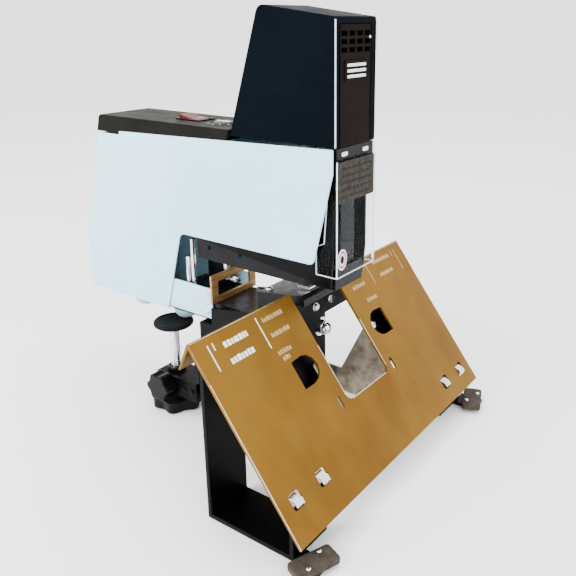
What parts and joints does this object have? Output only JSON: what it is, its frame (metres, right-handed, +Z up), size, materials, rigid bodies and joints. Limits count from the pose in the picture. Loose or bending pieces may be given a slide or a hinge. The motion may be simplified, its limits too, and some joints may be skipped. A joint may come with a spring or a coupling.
{
  "type": "stapler",
  "caption": "Electric booklet and flat stapler with a solenoid tower, a deep throat and a sloping saddle table on a steel stand.",
  "frame": {"origin": "middle of the model's footprint, on the surface that it stands on", "axes": "+X to the front of the machine, +Y along the saddle ridge to the machine's left, +Z up"},
  "size_m": [0.387, 0.3104, 0.3864],
  "materials": {
    "casing": "satin paint",
    "black_plastic": "fine grain",
    "brown_panel": "fine grain",
    "black_steel": "black enamel",
    "brass_plate": "yellow passivated steel",
    "steel": "brushed",
    "chrome": "polished",
    "copper": "enamelled copper wire",
    "red": "gloss",
    "clear": "clear sheet",
    "rubber": "matt",
    "foot_rubber": "satin",
    "board": "lacquered board",
    "grey_steel": "mottled"
  },
  "bodies": {
    "machine": {"casing_right": "casing", "casing_left": "casing", "leg_panel_right": "casing", "leg_panel_left": "casing", "rear_panel": "casing", "rear_cover": "black_plastic", "tower_cover": "black_plastic", "mains_inlet": "black_plastic", "head_block": "black_plastic", "tower_front_panel": "brown_panel", "base_plate": "black_steel", "frame_right": "black_steel", "frame_left": "black_steel", "magazine_channel": "black_steel", "magazine_nose": "black_steel", "guard_bar": "black_steel", "lower_arm": "black_steel", "anvil_block": "black_steel", "throat_block": "black_steel", "leg_right": "black_steel", "leg_left": "black_steel", "tongue_right": "black_steel", "tongue_left": "black_steel", "cross_bar": "black_steel", "under_channel": "black_steel", "spacer_block": "black_steel", "rod_bracket": "black_steel", "saddle_table": "brass_plate", "solenoid_yoke": "steel", "guide_plate": "steel", "frame_spacer": "steel", "staple_strip": "steel", "transformer": "steel", "return_spring": "steel", "anvil_plate": "chrome", "throat_bolt": "chrome", "guide_rod": "chrome", "solenoid_coil": "copper", "foot_rear_right": "foot_rubber", "foot_rear_left": "foot_rubber", "foot_front_right": "foot_rubber", "foot_front_left": "foot_rubber", "control_board": "board", "gusset_right": "grey_steel", "gusset_left": "grey_steel"},
    "driver": {"armature": "steel", "driver_holder": "steel", "driver_blade": "steel"},
    "pusher": {"staple_pusher": "chrome"},
    "rocker": {"rocker_switch": "red"},
    "dial": {"strength_dial": "grey_steel"},
    "guard": {"finger_guard": "clear"},
    "gauge": {"back_gauge": "brass_plate"},
    "lever": {"contact_lever": "chrome"},
    "pad_right": {"stabiliser_right": "rubber"},
    "pad_left": {"stabiliser_left": "rubber"},
    "support": {"support_rod": "chrome", "disc_pad": "rubber"},
    "foot_wheel": {"foot_knob": "black_plastic"},
    "lock": {"lock_knob": "black_plastic"}
  },
  "joints": [
    {"name": "driver_stroke", "type": "slide", "parent": "machine", "child": "driver", "axis": [0, 0, 1], "range_m": [-0.022, 0], "stiffness_N_per_m": 300, "springref_m": 0.015, "deforming": ["return_spring"]},
    {"name": "pusher_slide", "type": "slide", "parent": "machine", "child": "pusher", "axis": [1, 0, 0], "range_m": [-0.03, 0], "stiffness_N_per_m": 60, "springref_m": 0.02},
    {"name": "power_rocker", "type": "hinge", "parent": "machine", "child": "rocker", "pos_m": [-0.05449, 0, 0.2835], "axis": [0, 1, 0], "range_deg": [-12, 0]},
    {"name": "strength_turn", "type": "hinge", "parent": "machine", "child": "dial", "pos_m": [-0.01849, 0, 0.284], "axis": [0, 0, 1], "range_deg": [0, 270]},
    {"name": "guard_lift", "type": "slide", "parent": "machine", "child": "guard", "axis": [0, 0, 1], "range_m": [0, 0.008]},
    {"name": "gauge_slide", "type": "slide", "parent": "machine", "child": "gauge", "axis": [1, 0, 0], "range_m": [0, 0.05]},
    {"name": "contact_press", "type": "hinge", "parent": "machine", "child": "lever", "pos_m": [-0.02349, 0, 0.151], "axis": [0, 1, 0], "range_deg": [0, 8], "stiffness_Nm_per_rad": 0.02, "springref_deg": -17.19},
    {"name": "pad_swing_right", "type": "hinge", "parent": "machine", "child": "pad_right", "pos_m": [0.17951, -0.136, 0.003], "axis": [0, 0, 1], "range_deg": [0, 42]},
    {"name": "pad_swing_left", "type": "hinge", "parent": "machine", "child": "pad_left", "pos_m": [0.17951, 0.136, 0.003], "axis": [0, 0, 1], "range_deg": [-42, 0]},
    {"name": "support_height", "type": "slide", "parent": "machine", "child": "support", "axis": [0, 0, 1], "range_m": [-0.02, 0]},
    {"name": "foot_wheel_turn", "type": "hinge", "parent": "support", "child": "foot_wheel", "pos_m": [-0.07049, -0.03, 0], "axis": [0, 0, 1], "continuous": true},
    {"name": "lock_turn", "type": "hinge", "parent": "machine", "child": "lock", "pos_m": [-0.07049, -0.0443, 0.028], "axis": [0, 1, 0], "continuous": true}
  ]
}
